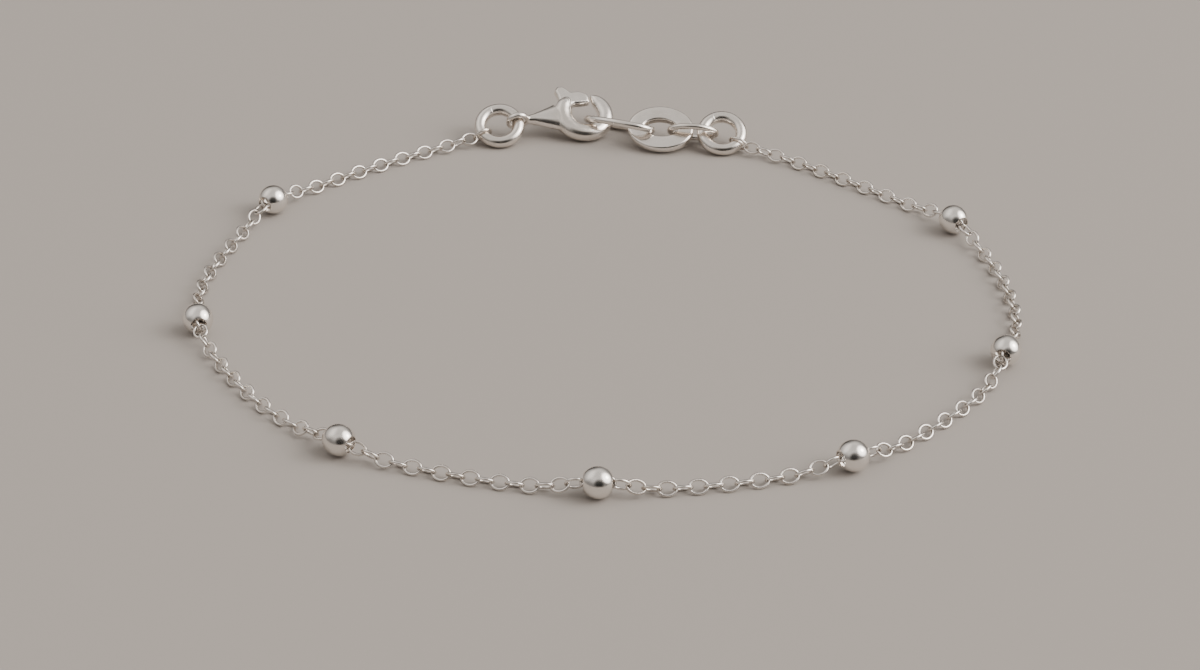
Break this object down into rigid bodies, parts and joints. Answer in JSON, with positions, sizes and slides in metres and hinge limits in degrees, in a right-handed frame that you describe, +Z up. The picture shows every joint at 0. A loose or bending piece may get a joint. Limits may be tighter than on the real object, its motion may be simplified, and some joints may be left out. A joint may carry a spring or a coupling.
{
  "type": "beaded chain bracelet",
  "caption": "Closed loop of fine cable chain threaded through drilled round beads, fastened by jump rings, an oval tag and a lobster clasp with a sprung lever.",
  "frame": {"origin": "middle of the bracelet's outline on the table it lies on", "axes": "+X from the left jump ring to the right one, +Y towards the clasp, +Z up from the table"},
  "size_m": [0.0684, 0.0624, 0.0035],
  "materials": {
    "silver_bead": "mirror-polished silver",
    "silver_chain": "polished silver wire",
    "silver_clasp": "polished cast silver",
    "silver_pin": "plain silver rivet"
  },
  "bodies": {
    "bracelet": {"chain_left": "silver_chain", "chain_right": "silver_chain", "bead_1": "silver_bead", "bead_2": "silver_bead", "bead_3": "silver_bead", "bead_4": "silver_bead", "bead_5": "silver_bead", "bead_6": "silver_bead", "bead_7": "silver_bead", "jump_ring_left": "silver_clasp", "jump_ring_right": "silver_clasp", "connector_ring": "silver_clasp", "small_link": "silver_clasp", "oval_tag": "silver_clasp", "clasp_body": "silver_clasp", "clasp_pin": "silver_pin"},
    "lever": {"clasp_lever": "silver_clasp"}
  },
  "joints": [
    {"name": "lever_hinge", "type": "hinge", "parent": "bracelet", "child": "lever", "pos_m": [-0.0043, 0.02942, 0.00222], "axis": [-0.1301, 0.4188, -0.8987], "range_deg": [0, 22], "stiffness_Nm_per_rad": 0.0004, "springref_deg": -22.92}
  ]
}
